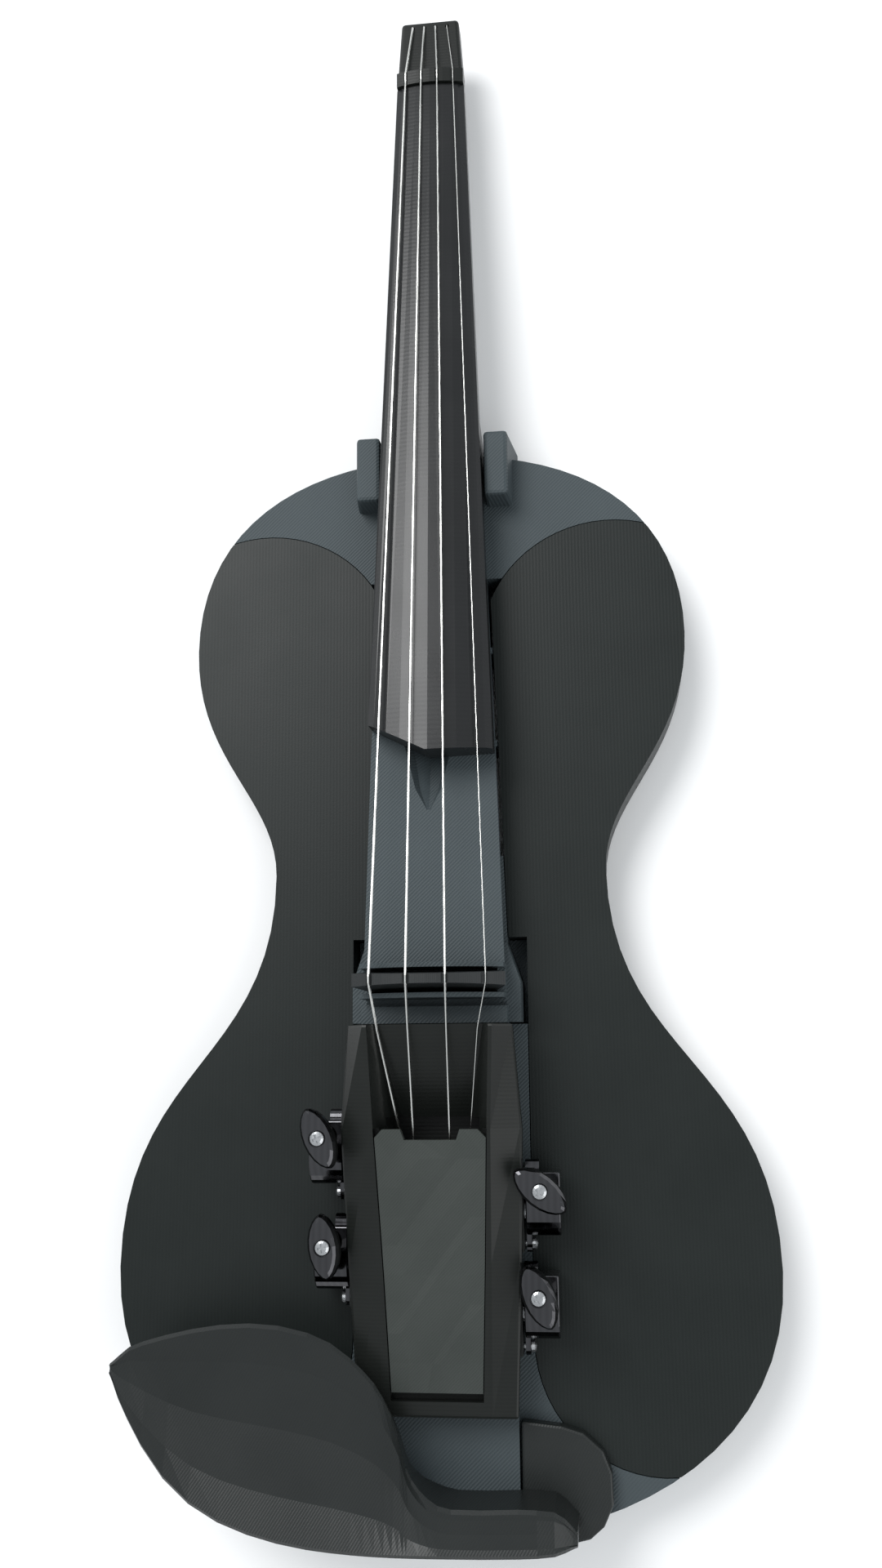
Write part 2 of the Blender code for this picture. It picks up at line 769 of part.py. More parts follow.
def make_back_screws():
    for name, x, y, tip in BACK_SCREWS:
        profile = [
            (0.0, tip),
            (SCREW_RADIUS * 0.5, tip),
            (SCREW_RADIUS, tip - 1.5),
            (SCREW_RADIUS, SCREW_HEAD + GAP),
            (SCREW_HEAD_RADIUS, SCREW_HEAD + GAP),
            (SCREW_HEAD_RADIUS, GAP + 0.5),
            (SCREW_HEAD_RADIUS - 0.5, GAP),
            (0.0, GAP),
        ]
        screw = turned(name, profile, 16)
        for half_x, half_y in ((1.9, 0.5), (0.5, 1.9)):
            cut(screw, block("cross", (-half_x, -half_y, -1), (half_x, half_y, GAP + 1.1)))
        screw.data.transform(Matrix.Translation((x * MM, y * MM, 0)))
        finish(screw, name, "screw_steel", origin=(x, y, 0))


# Bridge


def make_bridge():
    foot_z = SEAT_FLOOR_Z + PIEZO[2] + 2 * GAP
    slant_z = DECK_Z + 0.8
    outline = arch_outline(BRIDGE_HALF, BRIDGE_CROWN_Z, slant_z, 14)[:-2]
    outline += [(-BRIDGE_FOOT_HALF, slant_z), (-BRIDGE_FOOT_HALF, foot_z)]
    outline += [(BRIDGE_FOOT_HALF, foot_z), (BRIDGE_FOOT_HALF, slant_z)]
    bridge = extrude("bridge", outline, SEAT_Y[0] + GAP, SEAT_Y[1] - GAP, "y")
    centre = (SEAT_Y[0] + SEAT_Y[1]) / 2
    top = BRIDGE_TOP_THICK / 2
    wedge = [
        (SEAT_Y[0] + GAP, foot_z - 1),
        (SEAT_Y[1] - GAP, foot_z - 1),
        (SEAT_Y[1] - GAP, foot_z + 1),
        (centre + top, BRIDGE_CROWN_Z + 1),
        (centre - top, BRIDGE_CROWN_Z + 1),
        (SEAT_Y[0] + GAP, foot_z + 1),
    ]
    trim(bridge, extrude("wedge", wedge, -BRIDGE_HALF - 1, BRIDGE_HALF + 1, "x"))
    for x in STRING_BRIDGE_X:
        z = BRIDGE_CROWN_Z - arch_drop(x) - NOTCH_SINK[0] + STRING_NOTCH
        cut(bridge, bar("notch", STRING_NOTCH, (x, -10, z), (x, 10, z), 16))
    finish(bridge, "bridge", "bridge_black", origin=(0, centre, foot_z))

    low_z = SEAT_FLOOR_Z + GAP
    low = (-PIEZO[0] / 2, centre - PIEZO[1] / 2, low_z)
    strip = block("piezo_strip", low, (PIEZO[0] / 2, centre + PIEZO[1] / 2, low_z + PIEZO[2]))
    finish(strip, "piezo_strip", "piezo", origin=(0, centre, low_z))


# Neck, fingerboard, nut and head


def neck_ring(y, half, top, bottom, square):
    """A U-shaped section; square is 2 for a round back and more for a boxy one."""
    shoulder = top - 2.0
    ring = [(half, top)]
    for step in range(13):
        angle = math.pi * step / 12
        x = math.copysign(abs(math.cos(angle)) ** (2 / square), math.cos(angle)) * half
        z = shoulder - math.sin(angle) ** (2 / square) * (shoulder - bottom)
        ring.append((x, z))
    ring.append((-half, top))
    return [(x, y, z) for x, z in ring]


def make_neck():
    rings = []
    stations = (
        # y, how far the heel has grown
        (NECK_HEEL_Y[0], 1.0),
        (NECK_HEEL_Y[1], 1.0),
        (NECK_HEEL_Y[1] + 4, 0.82),
        (NECK_HEEL_Y[1] + 10, 0.40),
        (NECK_HEEL_Y[1] + 18, 0.10),
        (NECK_HEEL_Y[1] + 30, 0.0),
        (STRING_LENGTH - 22, 0.0),
        (STRING_LENGTH + NUT_THICK, 0.0),
    )
    for y, heel in stations:
        slim = board_half(y) - 0.5
        half = lerp(slim, HEEL_HALF, heel)
        top = board_under_z(y) - GAP
        bottom = lerp(top - NECK_DEPTH, HEEL_FLOOR + GAP, heel)
        rings.append(neck_ring(y, half, top, bottom, lerp(2.0, 9.0, heel ** 2)))
    neck = loft("neck", rings)
    stub = []
    for y, half in ((STRING_LENGTH - 1, HEAD_HALF[0]), (STRING_LENGTH + HEAD_LENGTH - 4, HEAD_HALF[1])):
        stub.append(neck_ring(y, half - 0.6, HEAD_BASE_Z, 6.7, 3.0))
    join(neck, loft("stub", stub))
    for name, x, y, tip in BACK_SCREWS[:2]:
        cut(neck, bar("bolt_hole", SCREW_RADIUS + GAP, (x, y, 0), (x, y, tip + 0.6), 12))
    finish(neck, "neck", "satin_black", origin=(0, NECK_HEEL_Y[0], HEEL_FLOOR), smooth=40.0)


def make_fingerboard():
    rings = []
    for y in (BOARD_END_Y - 4, STRING_LENGTH - GAP):
        half = board_half(y)
        edge = board_edge_z(y)
        flat = half - BOARD_BEVEL
        rise = edge + arch_drop(half)
        ring = [(half, board_under_z(y)), (half, edge - 0.8)]
        for step in range(9):
            x = lerp(flat, -flat, step / 8)
            ring.append((x, rise - arch_drop(x)))
        ring += [(-half, edge - 0.8), (-half, board_under_z(y))]
        rings.append([(x, y, z) for x, z in ring])
    board = loft("fingerboard", rings)
    slope = (BOARD_CORNER[1] - BOARD_TIP[1]) / (BOARD_CORNER[0] - BOARD_TIP[0])
    far = -BOARD_END_HALF - 5
    outline = [
        (-far, BOARD_END_Y + 0.2),
        BOARD_TIP,
        (far, BOARD_TIP[1] + (far - BOARD_TIP[0]) * slope),
        (far, BOARD_END_Y - 10),
        (-far, BOARD_END_Y - 10),
    ]
    cut(board, extrude("board_end", outline, 0, 70))
    origin = (0, STRING_LENGTH, board_under_z(STRING_LENGTH))
    finish(board, "fingerboard", "satin_black", origin=origin, smooth=12.0)


def nut_string_z(x, radius):
    return NUT_CROWN_Z - arch_drop(x) - NOTCH_SINK[1] + radius + STRING_CLEAR


def bridge_string_z(x, radius):
    return BRIDGE_CROWN_Z - arch_drop(x) - NOTCH_SINK[0] + radius + STRING_CLEAR


def make_nut():
    base = board_under_z(STRING_LENGTH)
    outline = arch_outline(NUT_HALF - 0.1, NUT_CROWN_Z, base, 10)
    nut = extrude("nut", outline, STRING_LENGTH, STRING_LENGTH + NUT_THICK, "y")
    for x in STRING_NUT_X:
        z = NUT_CROWN_Z - arch_drop(x) - NOTCH_SINK[1] + 0.7
        cut(nut, bar("notch", 0.7, (x, STRING_LENGTH - 2, z), (x, STRING_LENGTH + 9, z), 12))
    finish(nut, "nut", "satin_black", origin=(0, STRING_LENGTH, base))


def make_head():
    start = STRING_LENGTH + NUT_THICK + GAP
    end = STRING_LENGTH + HEAD_LENGTH + 0.5
    rings = []
    for y, half, top in ((start, HEAD_HALF[0], HEAD_TOP_Z), (end, HEAD_HALF[1], HEAD_TOP_Z - 0.5)):
        ring = [(half, HEAD_BASE_Z + GAP), (half, top), (-half, top), (-half, HEAD_BASE_Z + GAP)]
        rings.append([(x, y, z) for x, z in ring])
    cap = round_edges(loft("head_cap", rings), 1.4, 3, 60.0)
    low = (-9.4, BALL_Y - BALL_RADIUS - 0.8, BALL_Z - BALL_RADIUS - 0.5)
    cut(cap, block("pocket", low, (9.4, end + 1, HEAD_TOP_Z - HEAD_SKIN)))
    for x in STRING_HEAD_X:
        cut(cap, bar("string_hole", 0.75, (x, BALL_Y, BALL_Z), (x, BALL_Y, HEAD_TOP_Z + 1), 12))
    finish(cap, "head_cap", "satin_black", origin=(0, start, HEAD_BASE_Z))


# Strings


def post_place(worm_y, post_z):
    return worm_y - WORM_PITCH_RADIUS - GEAR_PITCH_RADIUS, post_z


def string_points(index, side, worm_y, post_z):
    radius = STRING_DIAMETER[index] / 2
    head_x = STRING_HEAD_X[index]
    saddle = (STRING_SADDLE_X[index], BOX_Y[1] - 1.5, RAMP_Z[0] + GAP + radius)
    seat_y = (SEAT_Y[0] + SEAT_Y[1]) / 2
    cap_z = HEAD_TOP_Z + GAP + radius
    nut_x = STRING_NUT_X[index]
    bridge_x = STRING_BRIDGE_X[index]
    points = [
        (head_x, BALL_Y, BALL_Z + BALL_RADIUS + 0.3),
        (head_x, BALL_Y, cap_z - 0.6),
        (head_x, BALL_Y - 0.6, cap_z),
        (nut_x, STRING_LENGTH + NUT_THICK - 1, nut_string_z(nut_x, radius)),
        (nut_x, STRING_LENGTH + 1, nut_string_z(nut_x, radius)),
        (bridge_x, seat_y + 1, bridge_string_z(bridge_x, radius)),
        (bridge_x, seat_y - 1, bridge_string_z(bridge_x, radius)),
        saddle,
    ]
    post_y, post_z = post_place(worm_y, post_z)
    winding = POST_WAIST + GAP + radius
    slope = math.atan2(saddle[2] - post_z - winding, saddle[1] - post_y)
    outer = index in (0, 3)
    start_x = WIND_X[0] if outer else WIND_X[1]
    step_x = -WIND_PITCH if outer else WIND_PITCH
    steps = round(WIND_TURNS * WIND_STEPS)
    for step in range(steps + 1):
        turn = step / WIND_STEPS
        angle = math.pi / 2 + slope + 2 * math.pi * turn
        x = side * (start_x + step_x * turn)
        points.append((x, post_y + winding * math.cos(angle), post_z + winding * math.sin(angle)))
    return points, radius


def make_strings():
    for name, side, worm_y, post_z, angle in MACHINES:
        index = STRING_NAMES.index(name)
        points, radius = string_points(index, side, worm_y, post_z)
        string = tube("string_" + name, points, radius)
        finish(string, "string_" + name, "string_steel", origin=(0, 0, BRIDGE_CROWN_Z), smooth=60.0)
        x = STRING_HEAD_X[index]
        half = BALL_LENGTH / 2
        ball = bar("ball_end", BALL_RADIUS, (x - half, BALL_Y, BALL_Z), (x + half, BALL_Y, BALL_Z), 16)
        finish(ball, "ball_end_" + name, "brass", origin=(x, BALL_Y, BALL_Z))


# Tuner box and its lid


def station_value(y, column):
    """One measure of the box read between its stations."""
    for front, rear in zip(BOX_STATIONS, BOX_STATIONS[1:]):
        if y >= rear[0] or rear is BOX_STATIONS[-1]:
            return ramp(y, front[0], rear[0], front[column], rear[column])


def outer_half(y):
    return station_value(y, 1)


def ridge_z(y):
    return station_value(y, 4)


def box_ring(station):
    y, half, shoulder, ridge_half, ridge = station
    side = [(half - BOX_BASE_DRAFT, BODY_DEPTH + GAP), (half, shoulder), (ridge_half, ridge)]
    return [(x, y, z) for x, z in side + [(-x, z) for x, z in reversed(side)]]


def channel_ring(y):
    floor = ramp(y, BOX_Y[1], RAMP_END_Y, RAMP_Z[0], RAMP_Z[1])
    half = ramp(y, BOX_Y[1], RAMP_END_Y, RAMP_HALF[0], RAMP_HALF[1])
    rim = station_value(y, 3) - BOX_RIM
    top = ridge_z(y)
    above = 4.0
    flare = (rim - half) / (top - floor) * (top + above - floor)
    side = [(half, floor), (half + flare, top + above)]
    return [(x, y, z) for x, z in side + [(-x, z) for x, z in reversed(side)]]


def tapered_ring(y, half, low, high):
    return [(-half, y, low), (half, y, low), (half, y, high), (-half, y, high)]


def lid_half(y):
    return ramp(y, LID_Y[1], LID_Y[0], LID_HALF[0], LID_HALF[1])


def cavity_half(y):
    return ramp(y, CAVITY_Y[1], CAVITY_Y[0], CAVITY_HALF[0], CAVITY_HALF[1])


def make_box():
    box = loft("tuner_box", [box_ring(station) for station in BOX_STATIONS])
    round_edges(box, 0.9, 2, 50.0)
    over = 80.0
    cut(box, loft("channel", [channel_ring(y) for y in (BOX_Y[1] + 3, RAMP_END_Y, RAMP_END_Y - 3.5)]))
    floor = BODY_DEPTH + GAP + BOX_FLOOR
    cut(box, loft("cavity", [tapered_ring(y, cavity_half(y), floor, over) for y in CAVITY_Y]))
    rings = []
    for y in (LID_Y[1] + GAP, BOX_STATIONS[2][0], LID_Y[0] - LID_TAIL_GAP):
        rings.append(tapered_ring(y, lid_half(y) + GAP, ridge_z(y) - LID_THICK - 2 * GAP, over))
    cut(box, loft("recess", rings))
    for name, side, worm_y, post_z, angle in MACHINES:
        post_y, post_z = post_place(worm_y, post_z)
        face = outer_half(post_y + 2)
        near = (face - 2.5, post_y - 11.5, post_z - HOUSING_RADIUS + 0.5)
        landing = block("landing", near, (face, post_y + 14.0, post_z + HOUSING_TOP - 0.5))
        clear = block("clear", (face, near[1] - 1.5, near[2] - 1), (face + 3, post_y + 16.5, 60))
        bore = bar("bore", POST_RADIUS + GAP, (0, post_y, post_z), (face + 5, post_y, post_z))
        inner = cavity_half(post_y)
        seat_end = (inner + BUSHING_LENGTH + GAP, post_y, post_z)
        seat = bar("seat", BUSHING_RADIUS + GAP, (0, post_y, post_z), seat_end)
        lug_y = post_y + LUG_Y
        pilot = bar("pilot", 1.3, (face - 6, lug_y, post_z), (face + 5, lug_y, post_z), 12)
        pieces = [landing, clear, bore, seat, pilot]
        if side < 0:
            pieces = [flipped(piece) for piece in pieces]
        join(box, pieces[0])
        cut(box, *pieces[1:])
    for name, x, y, tip in BACK_SCREWS[2:4]:
        cut(box, bar("screw_hole", SCREW_RADIUS + GAP, (x, y, 0), (x, y, tip + 0.6), 12))
    finish(box, "tuner_box", "satin_black", origin=(0, BOX_Y[1], BODY_DEPTH + GAP), smooth=30.0)


def make_lid():
    rings = []
    rows = LID_ROWS
    for row in range(rows):
        y = lerp(LID_Y[1], LID_Y[0], row / (rows - 1))
        half = lid_half(y)
        top = ridge_z(y) - GAP
        ring = [(-half, top - LID_THICK), (half, top - LID_THICK)]
        for column in range(LID_COLUMNS):
            edge = column in (0, LID_COLUMNS - 1) or row in (0, rows - 1)
            step = (3 * row + 2 * column) % 5
            relief = 0.0 if edge else LID_RELIEF * (step - 2) / 2
            shift = 0.0 if edge else half * 0.11 * ((row + 2 * column) % 3 - 1)
            ring.append((lerp(half, -half, column / (LID_COLUMNS - 1)) + shift, top + relief))
        rings.append([(x, y, z) for x, z in ring])
    lid = loft("box_lid", rings)
    half, depth = LID_NOTCH
    front = LID_Y[1]
    low_z, high_z = 20.0, 70.0
    wide = half + 1.5
    notch = [(-wide, front + 1), (-half, front - depth), (half, front - depth), (wide, front + 1)]
    cut(lid, extrude("notch", notch, low_z, high_z))
    for side in (-1, 1):
        edge = side * (LID_HALF[0] + 1)
        inner = side * (LID_HALF[0] - LID_CORNER)
        corner = [(inner, front + 0.1), (edge, front + 0.1), (edge, front - LID_CORNER - 1)]
        cut(lid, extrude("corner", corner, low_z, high_z))
    finish(lid, "box_lid", "lid_print", origin=(0, LID_Y[1], ridge_z(LID_Y[1]) - LID_THICK), smooth=4.0)


# Tuning machines: built on the right side and mirrored for the left


def worm_solid(x, y, z, top):
    """Worm thread and its shaft up into the button, as one twisted skin."""
    pitch = 2 * math.pi * GEAR_PITCH_RADIUS / GEAR_TEETH
    crest = WORM_PITCH_RADIUS + TOOTH_ADDENDUM
    root = WORM_PITCH_RADIUS - TOOTH_DEDENDUM
    thread = [(angle, crest) for angle in (-55, 0, 55)]
    thread += [(angle, root) for angle in (85, 130, 180, 230, 275)]
    length = WORM_TURNS * pitch

    def ring(height, phase, radius=None):
        points = []
        for angle, reach in thread:
            turn = math.radians(angle + phase - 90)
            reach = reach if radius is None else radius
            points.append((x + reach * math.cos(turn), y + reach * math.sin(turn), z + height))
        return points

    start = -length / 2
    first = 360 * start / pitch
    last = 360 * (start + length) / pitch
    rings = [ring(start - 1.6, first, root), ring(start - 0.2, first, root)]
    steps = round(WORM_TURNS * WORM_STEPS)
    for step in range(steps + 1):
        height = start + length * step / steps
        rings.append(ring(height, 360 * height / pitch))
    rings.append(ring(start + length + 0.2, last, root))
    rings.append([(px, py, top) for px, py, pz in ring(0, last, root)])
    worm = loft("worm", rings)
    return cut(worm, bar("thread_hole", 1.0, (x, y, top - 3.4), (x, y, top + 1), 12))


def gear_solid(x, y, z):
    """Helical wheel with a tooth gap facing the worm at rest."""
    crest = GEAR_PITCH_RADIUS + TOOTH_ADDENDUM
    root = GEAR_PITCH_RADIUS - TOOTH_DEDENDUM
    pitch = 360 / GEAR_TEETH
    lead = math.degrees(GEAR_PITCH_RADIUS / GEAR_TEETH / WORM_PITCH_RADIUS / GEAR_PITCH_RADIUS)
    half_crest = pitch * TOOTH_SHARE * 0.36
    half_root = pitch * TOOTH_SHARE * 0.72
    rings = []
    for side in (-0.5, 0.5):
        ring = []
        twist = lead * side * GEAR_WIDTH
        for tooth in range(GEAR_TEETH):
            middle = (tooth + 0.5) * pitch + twist
            flank = ((-half_root, root), (-half_crest, crest), (half_crest, crest), (half_root, root))
            for offset, reach in flank:
                angle = math.radians(middle + offset)
                across, up = reach * math.cos(angle), reach * math.sin(angle)
                ring.append((x + side * GEAR_WIDTH, y + across, z + up))
        rings.append(ring)
    return loft("gear", rings)


def post_solid(face, y, z):
    """String post and its wheel."""
    outer = face + HOUSING_THICK - 1.2
    wheel = face + WORM_OUT
    neck_x = wheel + GEAR_WIDTH / 2 + 0.3
    profile = [
        (0.0, outer),
        (SHAFT_RADIUS - 0.3, outer),
        (SHAFT_RADIUS, outer - 0.3),
        (SHAFT_RADIUS, neck_x),
        (POST_RADIUS, neck_x),
        (POST_RADIUS, WIND_X[0] + 0.9),
        (POST_WAIST, WIND_X[0] + 0.6),
        (POST_WAIST, POST_INNER_X + 1.3),
        (POST_RADIUS, POST_INNER_X + 1.0),
        (POST_RADIUS, POST_INNER_X + 0.4),
        (POST_RADIUS - 0.4, POST_INNER_X),
        (0.0, POST_INNER_X),
    ]
    post = turned("post", profile, 16)
    turn_part(post, 90, "Y")
    post.data.transform(Matrix.Translation((0, y * MM, z * MM)))
    join(post, gear_solid(wheel, y, z))
    hole_x = (WIND_X[0] + POST_INNER_X + 1) / 2
    return cut(post, bar("string_hole", 0.6, (hole_x, y, z - 5), (hole_x, y, z + 5), 8))


def housing_solid(face, y, z):
    """Gear housing that opens toward the box wall, with two lugs."""
    north = WORM_PITCH_RADIUS + GEAR_PITCH_RADIUS + HOUSING_NORTH
    outline = [(north, HOUSING_TOP), (north, -4.6), (north - 1.9, -6.6)]
    outline += arc((0, 0), HOUSING_RADIUS, 270, 112, 10)
    outline.append((-0.6, HOUSING_TOP))
    outline = [(y + v, z + w) for v, w in outline]
    housing = extrude("housing", outline, face + GAP, face + HOUSING_THICK, "x")
    round_edges(housing, 0.6, 2, 70.0)
    lug = bar("lug", LUG_RADIUS, (face + GAP, y + LUG_Y, z), (face + LUG_THICK, y + LUG_Y, z), 16)
    web_low = (face + GAP, y + LUG_Y, z - LUG_RADIUS)
    web = block("web", web_low, (face + LUG_THICK, y - 5, z + LUG_RADIUS))
    collar_y = y + north + 1.2
    collar = bar("collar", 2.5, (face + GAP, collar_y, z + 3), (face + 4.6, collar_y, z + 3), 16)
    join(housing, lug, web, collar)
    inner = face + HOUSING_THICK - HOUSING_SKIN
    worm_y = y + WORM_PITCH_RADIUS + GEAR_PITCH_RADIUS
    worm_x = face + WORM_OUT
    room = WORM_PITCH_RADIUS + TOOTH_ADDENDUM + GAP
    reach = 5.0
    wheel_room = bar("wheel_room", GEAR_PITCH_RADIUS + 1.0, (face - 1, y, z), (inner, y, z))
    worm_room = bar("worm_room", room, (worm_x, worm_y, z - reach), (worm_x, worm_y, z + reach))
    slot = block("slot", (face - 1, worm_y - room, z - reach), (worm_x, worm_y + room, z + reach))
    shaft = bar("shaft_hole", SHAFT_RADIUS + GAP, (worm_x, worm_y, z), (worm_x, worm_y, z + 12), 16)
    pivot = bar("pivot", SHAFT_RADIUS + GAP, (face + 5, y, z), (face + HOUSING_THICK - 0.8, y, z), 16)
    screw = bar("screw_hole", 1.3, (face - 1, y + LUG_Y, z), (face + 4, y + LUG_Y, z), 12)
    return cut(housing, wheel_room, worm_room, slot, shaft, pivot, screw)


def button_solid(x, y, low, angle):
    """Lens-shaped button, pointed at both ends and waisted toward its foot."""
    rings = []
    shape = (
        # share of the height, of the length and of the width
        (0.0, 0.40, 0.62),
        (0.30, 0.46, 0.74),
        (0.53, 0.54, 0.88),
        (0.66, 1.0, 1.0),
        (0.84, 0.99, 0.96),
        (0.95, 0.92, 0.80),
        (1.0, 0.80, 0.62),
    )
    count = 20
    for share, long, wide in shape:
        ring = []
        for i in range(count):
            turn = 2 * math.pi * i / count
            across = math.cos(turn) * abs(math.cos(turn)) ** 0.25
            along = math.sin(turn)
            ring.append((
                x + across * wide * BUTTON_WIDTH / 2,
                y + along * long * BUTTON_LENGTH / 2,
                low + share * BUTTON_HEIGHT,
            ))
        rings.append(ring)
    button = loft("button", rings)
    top = low + BUTTON_HEIGHT
    seat = bar("screw_seat", BUTTON_SCREW_RADIUS + GAP, (x, y, top - 0.9), (x, y, top + 1), 20)
    shaft = bar("shaft_seat", SHAFT_RADIUS + GAP, (x, y, low - 1), (x, y, low + BUTTON_SHAFT), 16)
    screw = bar("screw_way", 1.2, (x, y, low), (x, y, top + 1), 12)
    cut(button, seat, shaft, screw)
    return turn_part(button, angle, "Z", (x, y, low))


def button_screw_solid(x, y, low, angle):
    """Pan-head cross-recess screw that holds the button on the worm shaft."""
    top = low + BUTTON_HEIGHT
    head = top - 0.9 + GAP
    profile = [
        (0.0, head + 1.3),
        (1.4, head + 1.2),
        (2.1, head + 0.8),
        (BUTTON_SCREW_RADIUS, head + 0.3),
        (BUTTON_SCREW_RADIUS, head),
        (0.75, head),
        (0.75, low + BUTTON_SHAFT - 2.6),
        (0.0, low + BUTTON_SHAFT - 2.6),
    ]
    screw = turned("button_screw", profile, 16)
    screw.data.transform(Matrix.Translation((x * MM, y * MM, 0)))
    phillips(screw, x, y, head + 1.3, 1.35, 0.8)
    return turn_part(screw, angle, "Z", (x, y, low))


def mounting_screw_solid(face, y, z):
    profile = [
        (0.0, 1.6),
        (1.2, 1.5),
        (1.9, 1.0),
        (1.9, 0.0),
        (1.0, 0.0),
        (1.0, -6.4),
        (0.0, -6.4),
    ]
    screw = turned("mounting_screw", profile, 16)
    phillips(screw, 0, 0, 1.6, 1.1, 0.7)
    turn_part(screw, 90, "Y")
    place = ((face + LUG_THICK + 0.15) * MM, (y + LUG_Y) * MM, z * MM)
    screw.data.transform(Matrix.Translation(place))
    return screw


def bushing_solid(y, z):
    """Hexagon-headed bushing pressed in from inside the box."""
    inner = cavity_half(y)
    flange_x = inner - 0.55
    bushing = bar("bushing", BUSHING_RADIUS, (flange_x - 0.2, y, z), (inner + BUSHING_LENGTH, y, z))
    hexagon = bar("hexagon", BUSHING_HEX, (flange_x - BUSHING_FLANGE, y, z), (flange_x, y, z), 6)
    turn_part(hexagon, 90, "X", (0, y, z))
    join(bushing, hexagon)
    return cut(bushing, bar("bore", POST_RADIUS + GAP, (0, y, z), (inner + 20, y, z)))


def make_machines():
    for name, side, worm_y, post_z, angle in MACHINES:
        y, z = post_place(worm_y, post_z)
        face = outer_half(y + 2) + GAP
        worm_x = face + WORM_OUT
        low = z + HOUSING_TOP + BUTTON_LIFT
        turn = side * angle
        worm = worm_solid(worm_x, worm_y, z, low + BUTTON_SHAFT - 0.4)
        screw = button_screw_solid(worm_x, worm_y, low, turn)
        pieces = (
            ("housing", "tuner_black", housing_solid(face, y, z), (face, y, z)),
            ("worm", "screw_steel", worm, (worm_x, worm_y, z)),
            ("button", "tuner_black", button_solid(worm_x, worm_y, low, turn), (worm_x, worm_y, low)),
            ("button_screw", "screw_steel", screw, (worm_x, worm_y, low)),
            ("post", "tuner_chrome", post_solid(face, y, z), (face, y, z)),
            ("bushing", "tuner_chrome", bushing_solid(y, z), (cavity_half(y), y, z)),
            ("mounting_screw", "screw_steel", mounting_screw_solid(face, y, z), (face, y + LUG_Y, z)),
        )
        for kind, look, item, origin in pieces:
            if side < 0:
                flipped(item)
                origin = (-origin[0], origin[1], origin[2])
            finish(item, kind + "_" + name, look, origin=origin, smooth=40.0)


# Chinrest


def curve_through(points, x):
    """A smooth curve through a few points, read at x (Catmull-Rom slopes)."""
    last = len(points) - 1
    for i in range(last):
        if x <= points[i + 1][0] or i == last - 1:
            break
    x0, y0 = points[i]
    x1, y1 = points[i + 1]

    def slope(k):
        low = max(k - 1, 0)
        high = min(k + 1, last)
        return (points[high][1] - points[low][1]) / (points[high][0] - points[low][0])

    span = x1 - x0
    t = (x - x0) / span
    a = (1 + 2 * t) * (1 - t) ** 2
    b = t * (1 - t) ** 2
    c = t ** 2 * (3 - 2 * t)
    d = t ** 2 * (t - 1)
    return a * y0 + b * span * slope(i) + c * y1 + d * span * slope(i + 1)


def smooth_step(value, start, end):
    t = min(max((value - start) / (end - start), 0.0), 1.0)
    return t * t * (3 - 2 * t)


def chin_ring(x):
    north = curve_through(CHIN_NORTH, x)
    south = curve_through(CHIN_SOUTH, x)
    half = (north - south) / 2
    centre = (north + south) / 2
    arm = smooth_step(x, -14.0, 2.0)
    tip = 1 - smooth_step(x, -99.4, -80.0)
    cup = lerp(CHIN_CUP, 0.8, max(arm, tip))
    rim_z = CHIN_RIM_Z - 3.0 * smooth_step(x, 32.0, 42.0)
    rim = min(1.1 / half, 0.3)
    low_edge = lerp(rim_z - 3.0, CHIN_ARM_BASE_Z, arm)
    low_middle = lerp(rim_z - 0.6 * cup - CHIN_THICK, CHIN_ARM_BASE_Z, arm)
    low_centre = lerp(rim_z - cup - CHIN_THICK, CHIN_ARM_BASE_Z, arm)
    if x > CHIN_FOOT[0][0] + 0.1:
        low_edge = low_middle = low_centre = BODY_DEPTH + 2
    profile = (
        (1.0, rim_z - 0.9),
        (1.0 - rim, rim_z),
        (0.6, rim_z - 0.6 * cup),
        (0.0, rim_z - cup),
        (-0.6, rim_z - 0.6 * cup),
        (-1.0 + rim, rim_z),
        (-1.0, rim_z - 0.9),
        (-0.97, low_edge),
        (-0.6, low_middle),
        (0.0, low_centre),
        (0.6, low_middle),
        (0.97, low_edge),
    )
    return [(x, centre + u * half, z) for u, z in profile]


def make_chinrest():
    stations = [-99.4, -98.4, -96.5, -93.5, -89.0, -82.0, -74.0, -65.0, -56.0, -47.0, -38.0, -31.0, -25.0]
    stations += [-21.0, -17.8, -15.0, -12.5, -10.6, -9.2, -8.2, -6.6, -4.6, -2.0, 1.0, 5.0, 14.0]
    stations += [CHIN_FOOT[0][0], CHIN_FOOT[0][0] + 0.2, 30.0, 35.0, 38.0, 40.2, 41.6]
    rest = loft("chinrest", [chin_ring(x) for x in stations])
    foot = extrude("foot", list(CHIN_FOOT), BODY_DEPTH + GAP, CHIN_FOOT_Z)
    round_edges(foot, 0.8, 2, 70.0)
    join(rest, foot)
    for name, x, y, tip in BACK_SCREWS[4:]:
        cut(rest, bar("screw_hole", SCREW_RADIUS + GAP, (x, y, 0), (x, y, tip + 0.6), 12))
    finish(rest, "chinrest", "satin_black", origin=(30, -150, BODY_DEPTH + GAP), smooth=35.0)


# Output jack


